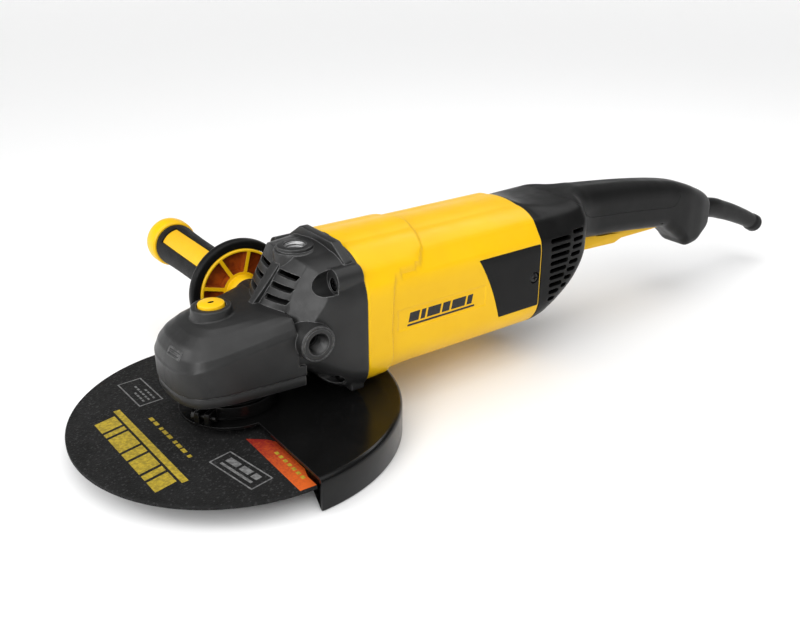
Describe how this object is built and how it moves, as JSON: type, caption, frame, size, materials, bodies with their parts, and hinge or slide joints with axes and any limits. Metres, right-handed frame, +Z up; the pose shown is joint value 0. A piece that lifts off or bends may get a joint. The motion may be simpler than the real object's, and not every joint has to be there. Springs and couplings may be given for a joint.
{
  "type": "angle grinder",
  "caption": "Large corded angle grinder with cutting disc, half-round guard, geared head, motor body, rear loop-free handle, trigger and auxiliary side handle.",
  "frame": {"origin": "centre of the spindle's end face, on the spindle axis", "axes": "+Z up the spindle axis away from the disc, +X along the motor towards the rear handle, +Y towards the auxiliary side handle"},
  "size_m": [0.7366, 0.3315, 0.1335],
  "materials": {
    "cast_housing": "charcoal powder-coated die casting, satin, fine grain",
    "screw_steel": "blackened steel",
    "bright_steel": "machined steel",
    "core_steel": "stacked electrical steel laminations",
    "bushing_brass": "plain brass",
    "copper_winding": "varnished copper wire and bars",
    "abrasive": null,
    "guard_paint": "gloss black painted steel sheet",
    "yellow_shell": "satin warm yellow moulded plastic",
    "black_shell": "black satin glass-filled plastic",
    "soft_grip": "soft black overmoulded rubber, fine texture",
    "carbon": "pressed carbon graphite"
  },
  "bodies": {
    "frame": {"gear_housing": "cast_housing", "bearing_cover": "cast_housing", "cover_screw_1": "screw_steel", "cover_screw_2": "screw_steel", "cover_screw_3": "screw_steel", "cover_screw_4": "screw_steel", "housing_screw_1": "screw_steel", "housing_screw_2": "screw_steel", "housing_screw_3": "screw_steel", "housing_screw_4": "screw_steel", "spindle_lower_bearing": "bright_steel", "spindle_upper_bush": "bushing_brass", "lock_spring": "bright_steel", "front_armature_bearing": "bright_steel", "rear_armature_bearing": "bright_steel", "fan_baffle": "black_shell", "stator_core": "core_steel", "field_coil_upper": "copper_winding", "field_coil_lower": "copper_winding", "motor_housing": "yellow_shell", "brush_holder_left": "bushing_brass", "brush_holder_right": "bushing_brass", "brush_cover_left": "black_shell", "brush_cover_right": "black_shell", "brush_cover_screw_left": "screw_steel", "brush_cover_screw_right": "screw_steel", "handle_left_shell": "black_shell", "handle_right_shell": "black_shell", "handle_left_pad": "soft_grip", "handle_right_pad": "soft_grip", "trigger_pin": "bright_steel", "switch_body": "black_shell", "cord_guard": "soft_grip", "side_handle_stud": "bright_steel", "side_handle_core": "yellow_shell", "side_handle_ring": "soft_grip", "side_handle_grip": "soft_grip"},
    "spindle": {"spindle": "bright_steel", "crown_gear": "bright_steel", "inner_flange": "bright_steel", "clamp_nut": "screw_steel", "cutting_disc": "abrasive"},
    "armature": {"armature_shaft": "bright_steel", "bevel_pinion": "bright_steel", "pinion_nut": "bright_steel", "armature_core": "core_steel", "armature_winding_front": "copper_winding", "armature_winding_rear": "copper_winding", "commutator": "copper_winding", "cooling_fan": "black_shell"},
    "guard": {"guard": "guard_paint", "guard_clamp_band": "guard_paint", "guard_clamp_screw": "screw_steel"},
    "lock": {"lock_button": "yellow_shell", "lock_pin": "bright_steel"},
    "trigger": {"trigger": "yellow_shell"},
    "lock_off": {"lock_off_lever": "yellow_shell"},
    "plunger": {"switch_plunger": "black_shell"},
    "brush_left": {"carbon_brush_left": "carbon"},
    "brush_right": {"carbon_brush_right": "carbon"}
  },
  "joints": [
    {"name": "spindle_spin", "type": "hinge", "parent": "frame", "child": "spindle", "pos_m": [0, 0, 0], "axis": [0, 0, 1], "continuous": true},
    {"name": "armature_spin", "type": "hinge", "parent": "frame", "child": "armature", "pos_m": [0.15, 0, 0.075], "axis": [1, 0, 0], "continuous": true},
    {"name": "guard_turn", "type": "hinge", "parent": "frame", "child": "guard", "pos_m": [0, 0, 0.028], "axis": [0, 0, 1], "range_deg": [-90, 90]},
    {"name": "lock_press", "type": "slide", "parent": "frame", "child": "lock", "axis": [0, 0, -1], "range_m": [0, 0.004], "stiffness_N_per_m": 800, "springref_m": -0.003, "deforming": ["lock_spring"]},
    {"name": "trigger_squeeze", "type": "hinge", "parent": "frame", "child": "trigger", "pos_m": [0.436, 0, 0.0735], "axis": [0, 1, 0], "range_deg": [0, 5.5], "stiffness_Nm_per_rad": 6, "springref_deg": -2.86},
    {"name": "lock_off_press", "type": "hinge", "parent": "trigger", "child": "lock_off", "pos_m": [0.3595, 0, 0.0667], "axis": [0, -1, 0], "range_deg": [0, 10], "stiffness_Nm_per_rad": 0.05, "springref_deg": -11.46},
    {"name": "plunger_slide", "type": "slide", "parent": "frame", "child": "plunger", "axis": [0, 0, 1], "range_m": [0, 0.006]},
    {"name": "brush_left_feed", "type": "slide", "parent": "frame", "child": "brush_left", "axis": [0, -1, 0], "range_m": [0, 0.008], "stiffness_N_per_m": 300, "springref_m": -0.01},
    {"name": "brush_right_feed", "type": "slide", "parent": "frame", "child": "brush_right", "axis": [0, 1, 0], "range_m": [0, 0.008], "stiffness_N_per_m": 300, "springref_m": -0.01}
  ],
  "couplings": [
    {"joint": "armature_spin", "follows": "spindle_spin", "ratio": 3.5833},
    {"joint": "plunger_slide", "follows": "trigger_squeeze", "m_per_rad": 0.06}
  ]
}
